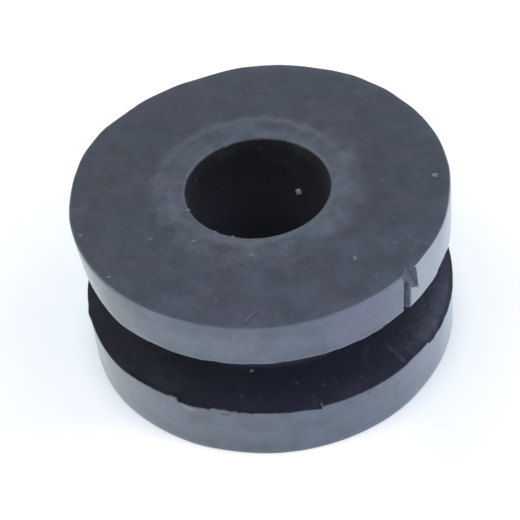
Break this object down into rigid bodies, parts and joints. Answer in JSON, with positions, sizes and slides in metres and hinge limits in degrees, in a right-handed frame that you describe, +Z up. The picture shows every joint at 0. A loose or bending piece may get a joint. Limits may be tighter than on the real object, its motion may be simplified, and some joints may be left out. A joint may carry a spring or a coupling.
{
  "type": "silent block bushing",
  "caption": "Moulded black rubber grommet bushing: a flange at each end, a groove between them that grips a panel edge, and a plain through bore for a bolt or sleeve.",
  "frame": {"origin": "centre of the lower face, on the axis of the bore", "axes": "+Z runs up the bore from the thicker lower flange to the thinner upper flange; +X and +Y are radial"},
  "size_m": [0.021, 0.021, 0.0103],
  "materials": {
    "rubber": "matte"
  },
  "bodies": {
    "root": {"rubber_bushing": "rubber"}
  },
  "joints": []
}
